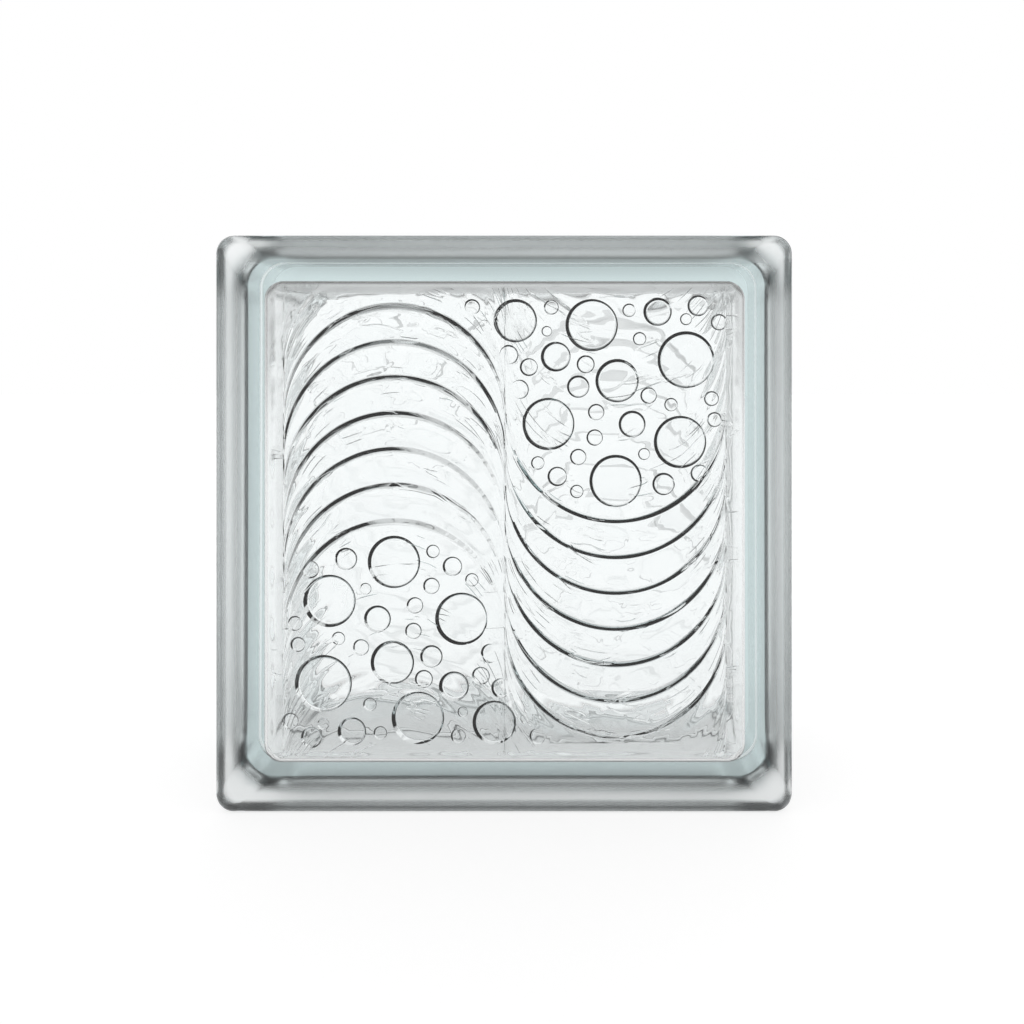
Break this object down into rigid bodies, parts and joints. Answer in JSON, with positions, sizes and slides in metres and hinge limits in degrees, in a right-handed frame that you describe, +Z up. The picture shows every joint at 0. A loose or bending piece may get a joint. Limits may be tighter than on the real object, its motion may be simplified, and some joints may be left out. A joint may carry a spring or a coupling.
{
  "type": "glass block",
  "caption": "Hollow square clear glass block with a wave and bubble relief pressed inside both faces.",
  "frame": {"origin": "centre of the bed that the two lower rims stand on, under the middle of the block", "axes": "+Z up, +X to the right seen from the front, +Y from the front face through the block to the back face"},
  "size_m": [0.19, 0.08, 0.19],
  "materials": {
    "glass": "polished"
  },
  "bodies": {
    "root": {"front_half": "glass", "back_half": "glass"}
  },
  "joints": []
}
